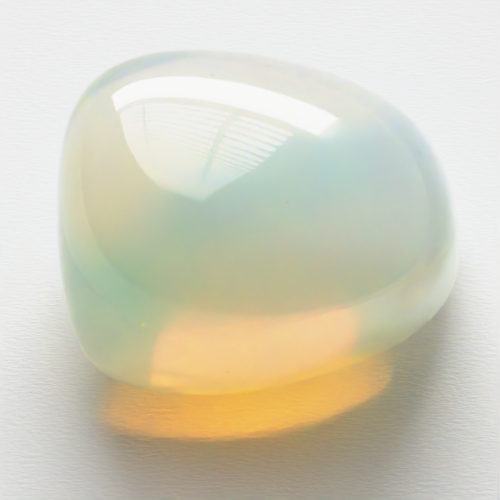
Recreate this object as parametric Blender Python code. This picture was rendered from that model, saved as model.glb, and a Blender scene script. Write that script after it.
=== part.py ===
"""A tumbled opalite stone: one solid pebble of opalescent glass, resting on a small flat spot.

The real stone starts as a broken chunk of glass and is rolled with grit until its edges are round.
It is modelled the same way. Flat broken faces are placed round the heart of the chunk, and tumbling
then melts them into each other.

Units are metres, with +Z up. The stone rests on the plane z = 0, and its origin is in the middle
of its box in plan, on that plane.
"""
import math

import bmesh
import bpy
from mathutils import Matrix, Vector

MM = 0.001

# The broken faces of the chunk. Each has the bearing it looks towards (degrees clockwise from the
# back, seen from above), its tilt above the horizon in degrees, and its distance from the heart of
# the chunk in millimetres.
BROKEN_FACES = {
    "crown": (81, 80, 10.5),
    "crown_left": (300, 85, 19.0),
    "front": (193, 27, 11.0),
    "left": (265, 15, 16.5),
    "back": (343, 10, 17.5),
    "back_right": (32, 30, 15.5),
    "right": (90, 8, 14.5),
    "front_right": (150, -11, 10.5),
    "under_left": (270, -40, 14.5),
    "under_front": (180, -42, 10.5),
    "under_back": (345, -55, 12.5),
    "under_right": (90, -40, 23.0),
    "underside": (150, -88, 7.5),
}

# How much of the edges is left. A low figure is a round ball and a high one is still a sharp chunk.
EDGE_LEFT_BY_TUMBLING = 5.0

# How far the lowest point is worn back to the small flat spot that the stone rests on.
REST_SPOT_DEPTH_MM = 0.15

# The cut round the flat spot takes in points this close to it, and joins rim points this close together.
SMALLEST_GAP_MM = 0.001
RIM_MERGE_MM = 0.1

# Squares along each side of the cube that the round form is drawn from.
SQUARES_PER_SIDE = 22

# The greenish white of opalite, for the plain model.
STONE_COLOUR = (0.62, 0.74, 0.66, 1.0)
STONE_ROUGHNESS = 0.05
GLASS_IOR = 1.46
GLASS_TRANSMISSION = 0.5


def looking(bearing, tilt):
    """The direction with this bearing and tilt, as a vector of length 1."""
    turn = math.radians(bearing)
    rise = math.radians(tilt)
    return Vector((math.sin(turn) * math.cos(rise), math.cos(turn) * math.cos(rise), math.sin(rise)))


def face_planes():
    """Each broken face as its direction and its distance in metres."""
    return [(looking(bearing, tilt), distance * MM) for bearing, tilt, distance in BROKEN_FACES.values()]


def worn_radius(direction, planes):
    """How far the tumbled surface is from the heart of the chunk in one direction."""
    nearness = 0.0
    for outward, distance in planes:
        facing = outward.dot(direction)
        if facing > 0.0:
            nearness += (facing / distance) ** EDGE_LEFT_BY_TUMBLING
    return nearness ** (-1.0 / EDGE_LEFT_BY_TUMBLING)


def round_direction(corner):
    """A point of the cube as a direction, spread so that the squares come out nearly even."""
    spread = Vector([math.tan(math.pi / 4 * value) for value in corner])
    return spread.normalized()


def tumbled_mesh():
    """The tumbled stone as a closed mesh, before it is worn flat underneath."""
    planes = face_planes()
    mesh = bmesh.new()
    bmesh.ops.create_cube(mesh, size=2.0)
    bmesh.ops.subdivide_edges(mesh, edges=mesh.edges[:], cuts=SQUARES_PER_SIDE - 1, use_grid_fill=True)
    for vertex in mesh.verts:
        direction = round_direction(vertex.co)
        vertex.co = direction * worn_radius(direction, planes)
    return mesh


def wear_rest_spot(mesh):
    """Cut the lowest point back to a small flat spot, and set the stone down on it."""
    lowest = min(vertex.co.z for vertex in mesh.verts)
    spot_height = lowest + REST_SPOT_DEPTH_MM * MM
    cut = bmesh.ops.bisect_plane(
        mesh,
        geom=mesh.verts[:] + mesh.edges[:] + mesh.faces[:],
        dist=SMALLEST_GAP_MM * MM,
        plane_co=(0, 0, spot_height),
        plane_no=(0, 0, 1),
        clear_inner=True,
    )
    rim = [item for item in cut["geom_cut"] if isinstance(item, bmesh.types.BMEdge)]
    bmesh.ops.edgeloop_fill(mesh, edges=rim)
    rim_corners = list({corner for edge in rim for corner in edge.verts})
    bmesh.ops.remove_doubles(mesh, verts=rim_corners, dist=RIM_MERGE_MM * MM)
    bmesh.ops.recalc_face_normals(mesh, faces=mesh.faces[:])
    across = [vertex.co.x for vertex in mesh.verts]
    along = [vertex.co.y for vertex in mesh.verts]
    middle = Vector(((min(across) + max(across)) / 2, (min(along) + max(along)) / 2, spot_height))
    bmesh.ops.transform(mesh, matrix=Matrix.Translation(-middle), verts=mesh.verts)


def glass_material():
    material = bpy.data.materials.new("opalescent glass")
    material.use_nodes = True
    shader = material.node_tree.nodes["Principled BSDF"]
    shader.inputs["Base Color"].default_value = STONE_COLOUR
    shader.inputs["Roughness"].default_value = STONE_ROUGHNESS
    shader.inputs["Metallic"].default_value = 0.0
    shader.inputs["IOR"].default_value = GLASS_IOR
    shader.inputs["Transmission Weight"].default_value = GLASS_TRANSMISSION
    return material


def build_stone(collection):
    mesh = tumbled_mesh()
    wear_rest_spot(mesh)
    data = bpy.data.meshes.new("opalite_stone")
    mesh.to_mesh(data)
    mesh.free()
    data.shade_smooth()
    data.set_sharp_from_angle(angle=math.radians(30))
    data.materials.append(glass_material())
    stone = bpy.data.objects.new("opalite_stone", data)
    collection.objects.link(stone)
    return stone


for leftover in list(bpy.data.objects):
    bpy.data.objects.remove(leftover, do_unlink=True)

tumbled_opalite = bpy.data.collections.new("tumbled opalite stone")
bpy.context.scene.collection.children.link(tumbled_opalite)
build_stone(tumbled_opalite)
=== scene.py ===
import math

import bpy
import mathutils
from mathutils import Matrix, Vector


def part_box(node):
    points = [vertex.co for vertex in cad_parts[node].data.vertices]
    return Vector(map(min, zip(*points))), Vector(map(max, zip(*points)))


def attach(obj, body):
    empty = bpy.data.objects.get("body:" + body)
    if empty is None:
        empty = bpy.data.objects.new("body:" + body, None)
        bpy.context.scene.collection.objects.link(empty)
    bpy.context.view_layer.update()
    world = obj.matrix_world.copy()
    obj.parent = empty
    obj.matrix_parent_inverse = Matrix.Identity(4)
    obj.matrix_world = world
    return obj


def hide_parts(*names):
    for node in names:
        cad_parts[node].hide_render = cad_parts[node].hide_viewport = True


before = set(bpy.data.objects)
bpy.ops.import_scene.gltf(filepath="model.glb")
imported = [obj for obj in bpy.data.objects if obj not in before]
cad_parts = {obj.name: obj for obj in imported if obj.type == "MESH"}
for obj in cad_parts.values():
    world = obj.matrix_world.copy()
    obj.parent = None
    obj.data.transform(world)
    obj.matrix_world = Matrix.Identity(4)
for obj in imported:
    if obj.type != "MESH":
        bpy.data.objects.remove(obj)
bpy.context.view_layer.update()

# The stone. The real one is a chunk of opalescent glass, rolled with grit until its broken faces melt
# into each other and then polished to a mirror. It is one solid piece, worn flat on a small spot
# underneath, where it rests.
MM = 0.001

# Each broken face: the bearing it looks towards (degrees clockwise from the back, seen from above),
# its tilt above the horizon in degrees, and its distance from the heart of the chunk in millimetres.
BROKEN_FACES = {
    "crown": (81, 80, 10.5),
    "crown_left": (300, 85, 19.0),
    "front": (193, 27, 11.0),
    "left": (265, 15, 16.5),
    "back": (343, 10, 17.5),
    "back_right": (32, 30, 15.5),
    "right": (90, 8, 14.5),
    "front_right": (150, -11, 10.5),
    "under_left": (270, -40, 14.5),
    "under_front": (180, -42, 10.5),
    "under_back": (345, -55, 12.5),
    "under_right": (90, -40, 23.0),
    "underside": (150, -88, 7.5),
}
# How sharp the tumbling has left the edges between them: the higher, the sharper.
EDGE_LEFT_BY_TUMBLING = 5.0
REST_SPOT_DEPTH = 0.15 * MM
CHUNK_RADIUS = 15 * MM
CUTS_PER_SIDE = 95
CUT_THRESHOLD = 0.001 * MM
SHARPEST_SOFT_EDGE = math.radians(30)


def looking(bearing, tilt):
    """The direction with this bearing and tilt, as a vector of length 1."""
    turn = math.radians(bearing)
    rise = math.radians(tilt)
    level = math.cos(rise)
    return mathutils.Vector((math.sin(turn) * level, math.cos(turn) * level, math.sin(rise)))


def worn_radius(direction, planes):
    """How far the tumbled surface is from the heart of the chunk in one direction."""
    nearness = 0.0
    for outward, distance in planes:
        facing = outward.dot(direction)
        if facing > 0.0:
            nearness += (facing / distance) ** EDGE_LEFT_BY_TUMBLING
    return nearness ** (-1.0 / EDGE_LEFT_BY_TUMBLING)


def tumble(chunk):
    """Wear a round blank down to the tumbled form of the broken faces."""
    planes = [(looking(bearing, tilt), distance * MM) for bearing, tilt, distance in BROKEN_FACES.values()]
    for vertex in chunk.data.vertices:
        direction = vertex.co.normalized()
        vertex.co = direction * worn_radius(direction, planes)


def wear_rest_spot(chunk):
    """Cut the lowest point back to the flat spot, and set the stone down on it in the middle of its box."""
    low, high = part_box("opalite_stone")
    spot_height = min(vertex.co.z for vertex in chunk.data.vertices) + REST_SPOT_DEPTH
    bpy.ops.object.mode_set(mode="EDIT")
    bpy.ops.mesh.select_all(action="SELECT")
    bpy.ops.mesh.bisect(
        plane_co=(0, 0, spot_height),
        plane_no=(0, 0, 1),
        use_fill=True,
        clear_inner=True,
        threshold=CUT_THRESHOLD,
    )
    bpy.ops.mesh.select_all(action="SELECT")
    bpy.ops.mesh.normals_make_consistent(inside=False)
    bpy.ops.object.mode_set(mode="OBJECT")
    across = [vertex.co.x for vertex in chunk.data.vertices]
    along = [vertex.co.y for vertex in chunk.data.vertices]
    chunk.location.x = (low.x + high.x) / 2 - (min(across) + max(across)) / 2
    chunk.location.y = (low.y + high.y) / 2 - (min(along) + max(along)) / 2
    chunk.location.z = low.z - spot_height
    bpy.ops.object.transform_apply(location=True, rotation=False, scale=False)


bpy.ops.object.select_all(action="DESELECT")
bpy.ops.mesh.primitive_cube_add(size=2 * CHUNK_RADIUS)
stone = bpy.context.object
stone.name = "tumbled_stone"
bpy.ops.object.mode_set(mode="EDIT")
bpy.ops.mesh.select_all(action="SELECT")
bpy.ops.mesh.subdivide(number_cuts=CUTS_PER_SIDE)
bpy.ops.transform.tosphere(value=1.0)
bpy.ops.object.mode_set(mode="OBJECT")
tumble(stone)
wear_rest_spot(stone)
bpy.ops.object.shade_smooth_by_angle(angle=SHARPEST_SOFT_EDGE)

# The glass is milky with droplets far finer than light's wavelength, which scatter blue much more than
# red. Each figure is how often light of that colour is scattered in a metre of glass.
MILK_RED = 38
MILK_GREEN = 100
MILK_BLUE = 280
# The clear glass takes up a little light too: how much in a metre, and what share of each colour it
# lets pass.
GLASS_TAKES = 2.5
GLASS_PASSES = (0.0, 0.5, 1.0, 1)
GLASS_IOR = 1.47

opal = bpy.data.materials.new("opalescent glass")
opal.use_nodes = True
glass_nodes = opal.node_tree.nodes
join = opal.node_tree.links.new
shader = glass_nodes["Principled BSDF"]
shader.inputs["IOR"].default_value = GLASS_IOR
shader.inputs["Transmission Weight"].default_value = 1.0
shader.inputs["Coat Weight"].default_value = 1.0
shader.inputs["Coat Roughness"].default_value = 0.0
shader.inputs["Coat IOR"].default_value = GLASS_IOR
milk = glass_nodes.new("ShaderNodeVolumeScatter")
milk.inputs["Color"].default_value = (MILK_RED / MILK_BLUE, MILK_GREEN / MILK_BLUE, 1, 1)
milk.inputs["Density"].default_value = MILK_BLUE
clear_glass = glass_nodes.new("ShaderNodeVolumeAbsorption")
clear_glass.inputs["Color"].default_value = GLASS_PASSES
clear_glass.inputs["Density"].default_value = GLASS_TAKES
melt = glass_nodes.new("ShaderNodeAddShader")
join(milk.outputs["Volume"], melt.inputs[0])
join(clear_glass.outputs["Volume"], melt.inputs[1])
join(melt.outputs["Shader"], glass_nodes["Material Output"].inputs["Volume"])

# Tints painted into the glass's colour, each a soft egg. Most are painted light and shade: painted shade
# where the stone's own shadow shows through it, a painted glow where light passes through to the front, a
# painted reflection at the round end, and painted light and shade on the rims lit from behind. The rose
# grey and the green grey only tint the glass there.
# For each: where its middle is, half its length, width and height, how far it is turned from the stone's
# long way, and its tint. Lengths are in millimetres and turns in degrees.
TINTS_AND_PAINTED_LIGHT = {
    # painted light: the cream of lit card seen through the blunt end
    "cream painted light at the blunt end": ((-11.5, -2.5, 16.0), (5.0, 5.5, 6.0), 0, (1.0, 0.97, 0.87, 1)),
    # painted shade: the cyan of the stone's own shadow seen through the crown
    "cyan painted shade over the crown": ((-0.5, -4.8, 17.5), (9.5, 2.6, 5.0), 17, (0.84, 0.98, 1.0, 1)),
    # painted shade: the sea green of the shadow seen through the foot
    "sea green painted shade at the foot": ((-12.0, -9.5, 9.5), (6.5, 5.0, 9.0), 25, (0.46, 0.86, 0.93, 1)),
    # painted light: the yellow green that light from above gives the front
    "yellow green painted light on the front": ((1.5, -10.0, 15.0), (10.0, 3.5, 4.0), 5, (1.0, 0.98, 0.88, 1)),
    # painted reflection: a warm pink streak of reflected light at the round end
    "pink painted reflection at the round end": ((11.6, -8.2, 12.5), (3.8, 1.5, 3.0), 50, (1.0, 0.78, 0.68, 1)),
    "rose grey on the right shoulder": ((10.5, 1.0, 15.0), (4.5, 6.0, 5.0), 0, (1.0, 0.85, 0.83, 1)),
    "green grey at the round end": ((13.8, -4.5, 10.5), (3.0, 5.5, 5.5), 0, (0.74, 0.79, 0.66, 1)),
    # painted glow: the amber of light that has passed through the stone, on its lower front
    "amber painted glow at the lower front": ((1.5, -11.5, 4.0), (11.0, 4.5, 4.8), 0, (1.0, 0.95, 0.42, 1)),
    # painted glow: the honey tint of light that leaves the stone underneath towards the front
    "honey painted glow under the front": ((0.0, -9.5, 1.5), (12.0, 7.0, 3.5), 0, (1.0, 0.97, 0.5, 1)),
    # painted shade: takes the blue out of the light that the blunt rim scatters
    "straw painted shade on the blunt rim": ((-14.0, 1.5, 14.0), (3.0, 7.0, 4.5), 0, (0.93, 0.93, 0.8, 1)),
    # painted rim light: a warm blush where light from behind comes through the back left
    "blush painted rim light on the back left": ((-9.0, 8.0, 12.0), (6.5, 3.5, 7.0), 38, (1.0, 0.82, 0.7, 1)),
    # painted rim light: the peach line of light along the back left rim
    "peach painted rim light on the back left rim": ((-11.5, 8.0, 15.0), (6.0, 3.5, 3.0), 40, (1.0, 0.76, 0.42, 1)),
    # painted shade: greys the reflection of the room behind the crown
    "grey painted shade behind the crown": ((1.0, 8.5, 16.0), (7.0, 3.5, 4.0), 0, (0.86, 0.86, 0.88, 1)),
    # painted shade: warms and dims the blue light scattered along the back
    "warm grey painted shade along the back": ((1.0, 10.0, 13.0), (14.0, 5.0, 9.0), -10, (0.95, 0.92, 0.83, 1)),
}
# Shares of that half size at which an egg has its full tint, and at which it has faded out.
TINT_FULL_WITHIN = 0.4
TINT_GONE_BEYOND = 1.3
# A slow swirl of noise bends them: how large it is, how many finer ones lie in it, and how far it carries
# the pattern.
TINT_SWIRL_SIZE = 9 * MM
TINT_SWIRL_DETAIL = 1.0
TINT_SWIRL_REACH = 3 * MM
NOISE_MIDDLE = 0.5
# Between them the glass has wisps, hardly tinted at all.
WISP_SIZE = 5 * MM
WISP_DETAIL = 3.0
WISP_SOFTNESS = 0.15
WISP_BLUE_GREEN = (0.97, 1.0, 1.0, 1)
WISP_CREAM = (1.0, 1.0, 0.98, 1)

place = glass_nodes.new("ShaderNodeTexCoord")
swirl = glass_nodes.new("ShaderNodeTexNoise")
swirl.inputs["Scale"].default_value = 1 / TINT_SWIRL_SIZE
swirl.inputs["Detail"].default_value = TINT_SWIRL_DETAIL
swirl_middle = glass_nodes.new("ShaderNodeVectorMath")
swirl_middle.operation = "SUBTRACT"
swirl_middle.inputs[1].default_value = (NOISE_MIDDLE, NOISE_MIDDLE, NOISE_MIDDLE)
stirred = glass_nodes.new("ShaderNodeVectorMath")
stirred.operation = "MULTIPLY_ADD"
stirred.inputs[1].default_value = (TINT_SWIRL_REACH, TINT_SWIRL_REACH, TINT_SWIRL_REACH)
join(place.outputs["Object"], swirl.inputs["Vector"])
join(swirl.outputs["Color"], swirl_middle.inputs[0])
join(swirl_middle.outputs["Vector"], stirred.inputs[0])
join(place.outputs["Object"], stirred.inputs[2])

wisps = glass_nodes.new("ShaderNodeTexNoise")
wisps.inputs["Scale"].default_value = 1 / WISP_SIZE
wisps.inputs["Detail"].default_value = WISP_DETAIL
wisp_edge = glass_nodes.new("ShaderNodeMapRange")
wisp_edge.inputs["From Min"].default_value = NOISE_MIDDLE - WISP_SOFTNESS
wisp_edge.inputs["From Max"].default_value = NOISE_MIDDLE + WISP_SOFTNESS
wisp_colour = glass_nodes.new("ShaderNodeMix")
wisp_colour.data_type = "RGBA"
wisp_colour.inputs["A"].default_value = WISP_BLUE_GREEN
wisp_colour.inputs["B"].default_value = WISP_CREAM
join(stirred.outputs["Vector"], wisps.inputs["Vector"])
join(wisps.outputs["Fac"], wisp_edge.inputs["Value"])
join(wisp_edge.outputs["Result"], wisp_colour.inputs["Factor"])

colour_and_painted_light = wisp_colour.outputs["Result"]
# Each egg multiplies its tint into the glass's colour where it lies; most of them paint light and shade
# into it.
for middle, half_size, turn, tint in TINTS_AND_PAINTED_LIGHT.values():
    from_middle = glass_nodes.new("ShaderNodeMapping")
    from_middle.vector_type = "TEXTURE"
    from_middle.inputs["Location"].default_value = mathutils.Vector(middle) * MM
    from_middle.inputs["Rotation"].default_value = (0, 0, math.radians(turn))
    from_middle.inputs["Scale"].default_value = mathutils.Vector(half_size) * MM
    depth = glass_nodes.new("ShaderNodeVectorMath")
    depth.operation = "LENGTH"
    tint_mask = glass_nodes.new("ShaderNodeMapRange")
    tint_mask.interpolation_type = "SMOOTHSTEP"
    tint_mask.inputs["From Min"].default_value = TINT_GONE_BEYOND
    tint_mask.inputs["From Max"].default_value = TINT_FULL_WITHIN
    tinted = glass_nodes.new("ShaderNodeMix")
    tinted.data_type = "RGBA"
    tinted.blend_type = "MULTIPLY"
    tinted.inputs["B"].default_value = tint
    join(stirred.outputs["Vector"], from_middle.inputs["Vector"])
    join(from_middle.outputs["Vector"], depth.inputs[0])
    join(depth.outputs["Value"], tint_mask.inputs["Value"])
    join(tint_mask.outputs["Result"], tinted.inputs["Factor"])
    join(colour_and_painted_light, tinted.inputs["A"])
    colour_and_painted_light = tinted.outputs["Result"]

# Flecks are tiny grains caught at the skin of the glass. For each: where it is and its radius, both in
# millimetres, and its colour.
FLECKS = {
    "blue fleck by the strip": ((-3.5, 6.6, 17.6), 0.22, (0.45, 0.78, 0.88, 1)),
    "grey tick behind the crown": ((0.6, 8.6, 16.0), 0.16, (0.4, 0.38, 0.38, 1)),
    "pink fleck on the crown": ((1.9, -4.7, 17.6), 0.16, (1.0, 0.7, 0.65, 1)),
    "yellow fleck on the front": ((-8.5, -11.1, 11.2), 0.2, (1.0, 0.97, 0.55, 1)),
    "brown fleck low on the front": ((-2.4, -13.4, 8.4), 0.12, (0.5, 0.38, 0.2, 1)),
    "grey fleck on the right": ((11.7, 2.2, 13.8), 0.15, (0.25, 0.25, 0.27, 1)),
}
# The share of its radius within which a fleck has its full colour.
FLECK_FULL_WITHIN = 0.5

for spot, radius, colour in FLECKS.values():
    gap = glass_nodes.new("ShaderNodeVectorMath")
    gap.operation = "DISTANCE"
    gap.inputs[1].default_value = mathutils.Vector(spot) * MM
    inside = glass_nodes.new("ShaderNodeMapRange")
    inside.inputs["From Min"].default_value = radius * MM
    inside.inputs["From Max"].default_value = radius * MM * FLECK_FULL_WITHIN
    fleck = glass_nodes.new("ShaderNodeMix")
    fleck.data_type = "RGBA"
    fleck.inputs["B"].default_value = colour
    join(place.outputs["Object"], gap.inputs[0])
    join(gap.outputs["Value"], inside.inputs["Value"])
    join(inside.outputs["Result"], fleck.inputs["Factor"])
    join(colour_and_painted_light, fleck.inputs["A"])
    colour_and_painted_light = fleck.outputs["Result"]
join(colour_and_painted_light, shader.inputs["Base Color"])

# The polished skin is a mirror. Just under it the grit has left the glass a little broken up, more in
# some places than in others, so light that goes in or comes out there is blurred.
HAZE_SIZE = 7 * MM
HAZE_DETAIL = 3.0
HAZE_SOFTNESS = 0.2
HAZE_LEAST = 0.1
HAZE_MOST = 0.14

haze = glass_nodes.new("ShaderNodeTexNoise")
haze.inputs["Scale"].default_value = 1 / HAZE_SIZE
haze.inputs["Detail"].default_value = HAZE_DETAIL
ground = glass_nodes.new("ShaderNodeMapRange")
ground.inputs["From Min"].default_value = NOISE_MIDDLE - HAZE_SOFTNESS
ground.inputs["From Max"].default_value = NOISE_MIDDLE + HAZE_SOFTNESS
ground.inputs["To Min"].default_value = HAZE_LEAST
ground.inputs["To Max"].default_value = HAZE_MOST
join(place.outputs["Object"], haze.inputs["Vector"])
join(haze.outputs["Fac"], ground.inputs["Value"])
join(ground.outputs["Result"], shader.inputs["Roughness"])

# The last traces of the tumbling: pinprick pits, each in a cell of its own, and a very faint ripple.
PIT_SPACING = 4 * MM
PIT_RADIUS = 0.09 * MM
PIT_DEPTH = 0.03 * MM
RIPPLE_SIZE = 2.5 * MM
RIPPLE_DETAIL = 0.0
RIPPLE_HEIGHT = 0.0004 * MM

pit_cells = glass_nodes.new("ShaderNodeTexVoronoi")
pit_cells.inputs["Scale"].default_value = 1 / PIT_SPACING
pits = glass_nodes.new("ShaderNodeMapRange")
pits.inputs["From Min"].default_value = 0.0
pits.inputs["From Max"].default_value = PIT_RADIUS / PIT_SPACING
pit_relief = glass_nodes.new("ShaderNodeBump")
pit_relief.inputs["Distance"].default_value = PIT_DEPTH
ripple = glass_nodes.new("ShaderNodeTexNoise")
ripple.inputs["Scale"].default_value = 1 / RIPPLE_SIZE
ripple.inputs["Detail"].default_value = RIPPLE_DETAIL
ripple_relief = glass_nodes.new("ShaderNodeBump")
ripple_relief.inputs["Distance"].default_value = RIPPLE_HEIGHT
join(place.outputs["Object"], pit_cells.inputs["Vector"])
join(pit_cells.outputs["Distance"], pits.inputs["Value"])
join(pits.outputs["Result"], pit_relief.inputs["Height"])
join(place.outputs["Object"], ripple.inputs["Vector"])
join(ripple.outputs["Fac"], ripple_relief.inputs["Height"])
join(ripple_relief.outputs["Normal"], pit_relief.inputs["Normal"])
join(pit_relief.outputs["Normal"], shader.inputs["Normal"])
stone.data.materials.append(opal)

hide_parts("opalite_stone")
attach(stone, "root")

# The paper that the stone stands on: a plain pale card of cotton fibre, matt, with a fine grain that
# runs from side to side. It lies less than a hair below the flat spot, so that the two flat faces don't
# share one plane.
PAPER_SIZE = 3
PAPER_GAP = 0.02 * MM
CARD_COLOUR = (0.86, 0.86, 0.86, 1)
FIBRE_LENGTH = 0.8 * MM
FIBRE_WIDTH = 0.25 * MM
FIBRE_RISE = 0.045 * MM
FIBRE_DETAIL = 3.0
FIBRE_ROUGHNESS = 0.6

bpy.ops.object.select_all(action="DESELECT")
bpy.ops.mesh.primitive_plane_add(size=PAPER_SIZE, location=(0, 0, -PAPER_GAP))
paper = bpy.context.object
paper.name = "paper"
bpy.ops.object.transform_apply(location=True, rotation=False, scale=False)

card = bpy.data.materials.new("cotton card")
card.use_nodes = True
card_shader = card.node_tree.nodes["Principled BSDF"]
card_shader.inputs["Base Color"].default_value = CARD_COLOUR
card_shader.inputs["Roughness"].default_value = 1.0
card_shader.inputs["Specular IOR Level"].default_value = 0.0
card_place = card.node_tree.nodes.new("ShaderNodeTexCoord")
fibre_lie = card.node_tree.nodes.new("ShaderNodeMapping")
fibre_lie.inputs["Scale"].default_value = (1 / FIBRE_LENGTH, 1 / FIBRE_WIDTH, 1)
fibres = card.node_tree.nodes.new("ShaderNodeTexNoise")
fibres.inputs["Scale"].default_value = 1.0
fibres.inputs["Detail"].default_value = FIBRE_DETAIL
fibres.inputs["Roughness"].default_value = FIBRE_ROUGHNESS
fibre_relief = card.node_tree.nodes.new("ShaderNodeBump")
fibre_relief.inputs["Distance"].default_value = FIBRE_RISE
card.node_tree.links.new(card_place.outputs["Object"], fibre_lie.inputs["Vector"])
card.node_tree.links.new(fibre_lie.outputs["Vector"], fibres.inputs["Vector"])
card.node_tree.links.new(fibres.outputs["Fac"], fibre_relief.inputs["Height"])
card.node_tree.links.new(fibre_relief.outputs["Normal"], card_shader.inputs["Normal"])
paper.data.materials.append(card)

# The light: a tall soft box straight behind the stone. Its lowest strip is open and bright, louvres
# cross the middle of it, and thin cloth hangs in front of its top, so it grows dimmer upwards. The angles
# are degrees above the level, as seen from the stone.
BOX_DISTANCE = 0.6
STRIP_ENDS = (-315 * MM, 270 * MM)
STRIP_FOOT_ANGLE = 27.5
STRIP_HEAD_ANGLE = 40
STRIP_BRIGHTNESS = 16.0
LOUVRES = 24
LOUVRE_FOOT_ANGLE = 43
LOUVRE_PITCH = 33 * MM
LOUVRE_GAP = 13 * MM
LOUVRE_ENDS = (-292 * MM, 252 * MM)
LOUVRE_LOWEST = 5.5
LOUVRE_HIGHEST = 3.7
CLOTHS = 6
CLOTH_HEAD_ANGLE = 80
CLOTH_LOWEST = 2.7
CLOTH_HIGHEST = 0.9


def height_at(angle):
    """How high the box is at an angle above the level, seen from the stone."""
    return BOX_DISTANCE * math.tan(math.radians(angle))


def soft_light(name, ends, low, high, brightness):
    """An upright panel of light between two ends and two heights."""
    left, right = ends
    bpy.ops.object.light_add(type="AREA", location=((left + right) / 2, BOX_DISTANCE, (low + high) / 2))
    panel = bpy.context.object
    panel.name = name
    panel.rotation_euler = (math.radians(-90), 0, 0)
    panel.data.shape = "RECTANGLE"
    panel.data.size = right - left
    panel.data.size_y = high - low
    panel.data.energy = brightness * math.pi * panel.data.size * panel.data.size_y


strip_head = height_at(STRIP_HEAD_ANGLE)
soft_light("open strip", STRIP_ENDS, height_at(STRIP_FOOT_ANGLE), strip_head, STRIP_BRIGHTNESS)
louvre_foot = height_at(LOUVRE_FOOT_ANGLE)
louvre_head = louvre_foot + LOUVRES * LOUVRE_PITCH
for step in range(LOUVRES):
    lower_edge = louvre_foot + step * LOUVRE_PITCH
    brightness = LOUVRE_LOWEST + (LOUVRE_HIGHEST - LOUVRE_LOWEST) * step / (LOUVRES - 1)
    soft_light("louvre", LOUVRE_ENDS, lower_edge, lower_edge + LOUVRE_PITCH - LOUVRE_GAP, brightness)
cloth_height = (height_at(CLOTH_HEAD_ANGLE) - louvre_head) / CLOTHS
for step in range(CLOTHS):
    lower_edge = louvre_head + step * cloth_height
    brightness = CLOTH_LOWEST + (CLOTH_HIGHEST - CLOTH_LOWEST) * step / (CLOTHS - 1)
    soft_light("cloth", LOUVRE_ENDS, lower_edge, lower_edge + cloth_height, brightness)

# Two bands of gauze hold the louvres. They hang upright just in front of the box, from the topmost
# louvre down to the open strip. For each: how far it hangs from the middle, and its width.
BANDS = {"narrow_band": (-73 * MM, 15 * MM), "wide_band": (196 * MM, 11 * MM)}
BAND_GAP = 10 * MM
BAND_THICKNESS = 2 * MM
GAUZE_COLOUR = (0.3, 0.25, 0.2, 1)
GAUZE_COVER = 0.5

gauze = bpy.data.materials.new("gauze")
gauze.use_nodes = True
gauze_shader = gauze.node_tree.nodes["Principled BSDF"]
gauze_shader.inputs["Base Color"].default_value = GAUZE_COLOUR
gauze_shader.inputs["Alpha"].default_value = GAUZE_COVER
band_middle = (strip_head + louvre_head) / 2
for name, (across, width) in BANDS.items():
    bpy.ops.object.select_all(action="DESELECT")
    bpy.ops.mesh.primitive_cube_add(size=1, location=(across, BOX_DISTANCE - BAND_GAP, band_middle))
    band = bpy.context.object
    band.name = name
    band.scale = (width, BAND_THICKNESS, louvre_head - strip_head)
    bpy.ops.object.transform_apply(location=True, rotation=False, scale=True)
    band.data.materials.append(gauze)

# The pale room. It is brightest behind the stone, a little to the right, and its light grows weaker
# towards both sides. It ends a little past them, so the viewer's side of the room is dark.
ROOM_FRONT_EDGE = -0.3
ROOM_MIDDLE = 1.2
ROOM_LEFT = 1.0
ROOM_RIGHT = 1.8

surround = bpy.data.worlds.new("pale room")
surround.use_nodes = True
room = surround.node_tree
towards = room.nodes.new("ShaderNodeTexCoord")
split = room.nodes.new("ShaderNodeSeparateXYZ")
left_half = room.nodes.new("ShaderNodeMapRange")
left_half.inputs["From Min"].default_value = -1.0
left_half.inputs["From Max"].default_value = 0.0
left_half.inputs["To Min"].default_value = ROOM_LEFT
left_half.inputs["To Max"].default_value = ROOM_MIDDLE
right_half = room.nodes.new("ShaderNodeMapRange")
right_half.inputs["From Min"].default_value = 0.0
right_half.inputs["From Max"].default_value = 1.0
right_half.inputs["To Min"].default_value = 0.0
right_half.inputs["To Max"].default_value = ROOM_RIGHT - ROOM_MIDDLE
wall = room.nodes.new("ShaderNodeMath")
wall.operation = "ADD"
fade = room.nodes.new("ShaderNodeMapRange")
fade.inputs["From Min"].default_value = ROOM_FRONT_EDGE
fade.inputs["From Max"].default_value = 1.0
fade.inputs["To Min"].default_value = 0.0
room.links.new(towards.outputs["Generated"], split.inputs["Vector"])
room.links.new(split.outputs["X"], left_half.inputs["Value"])
room.links.new(split.outputs["X"], right_half.inputs["Value"])
room.links.new(left_half.outputs["Result"], wall.inputs[0])
room.links.new(right_half.outputs["Result"], wall.inputs[1])
room.links.new(split.outputs["Y"], fade.inputs["Value"])
room.links.new(wall.outputs["Value"], fade.inputs["To Max"])
room.links.new(fade.outputs["Result"], room.nodes["Background"].inputs["Strength"])
room.nodes["Background"].inputs["Color"].default_value = (1, 1, 1, 1)
bpy.context.scene.world = surround

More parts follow.
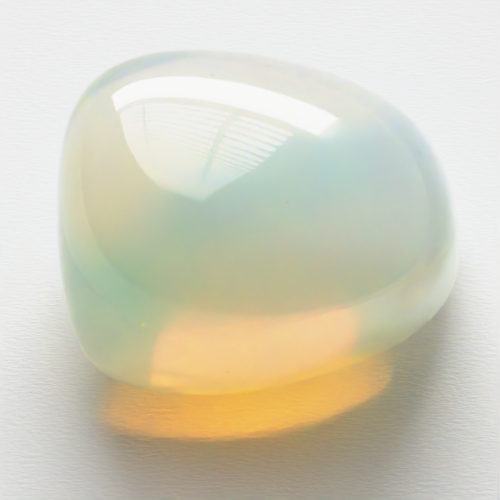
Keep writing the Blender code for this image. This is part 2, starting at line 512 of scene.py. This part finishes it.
# The camera. It stands in front of the stone and looks down at it from the photograph's angle, close
# enough for the near side to look a little larger than the far side.
VIEW_HEIGHT = math.radians(57)
VIEW_DISTANCE = 220 * MM
LOOK_POINT = mathutils.Vector((-0.78, -3.22, 9)) * MM
PIXELS_PER_MM = 13.45
PICTURE_WIDTH = 500
SENSOR_WIDTH = 36

camera_data = bpy.data.cameras.new("camera")
camera_data.sensor_width = SENSOR_WIDTH
camera_data.lens = SENSOR_WIDTH * PIXELS_PER_MM * VIEW_DISTANCE / MM / PICTURE_WIDTH
camera_data.clip_start = MM
camera = bpy.data.objects.new("camera", camera_data)
bpy.context.scene.collection.objects.link(camera)
towards_camera = mathutils.Vector((0, -math.cos(VIEW_HEIGHT), math.sin(VIEW_HEIGHT)))
camera.location = LOOK_POINT + VIEW_DISTANCE * towards_camera
camera.rotation_euler = (math.pi / 2 - VIEW_HEIGHT, 0, 0)
bpy.context.scene.camera = camera

# The film. It is plain up to a pale grey, and above that it rolls off softly, so that the bright strip
# keeps its tone. Each point gives an amount of light and the tone that it leaves.
FILM_RANGE = 4.0
FILM_POINTS = (
    (0.3, 0.3),
    (0.7, 0.7),
    (0.85, 0.818),
    (1.0, 0.87),
    (1.3, 0.905),
    (1.8, 0.925),
    (4.0, 0.95),
)
FILM_CURVE_FOR_ALL_COLOURS = 3
# How many times light may turn in the glass and in the milk, and how far sharp glints are blurred.
TURNS_IN_GLASS = 24
TURNS_IN_MILK = 16
GLINT_BLUR = 0.1

film = bpy.context.scene.view_settings
film.view_transform = "Standard"
film.use_curve_mapping = True
film.curve_mapping.white_level = (FILM_RANGE, FILM_RANGE, FILM_RANGE)
rolloff = film.curve_mapping.curves[FILM_CURVE_FOR_ALL_COLOURS]
for light, tone in FILM_POINTS:
    rolloff.points.new(light / FILM_RANGE, tone)
for point in rolloff.points:
    point.handle_type = "VECTOR"
film.curve_mapping.update()
bpy.context.scene.cycles.use_denoising = True
bpy.context.scene.cycles.max_bounces = TURNS_IN_GLASS
bpy.context.scene.cycles.transmission_bounces = TURNS_IN_GLASS
bpy.context.scene.cycles.volume_bounces = TURNS_IN_MILK
bpy.context.scene.cycles.blur_glossy = GLINT_BLUR
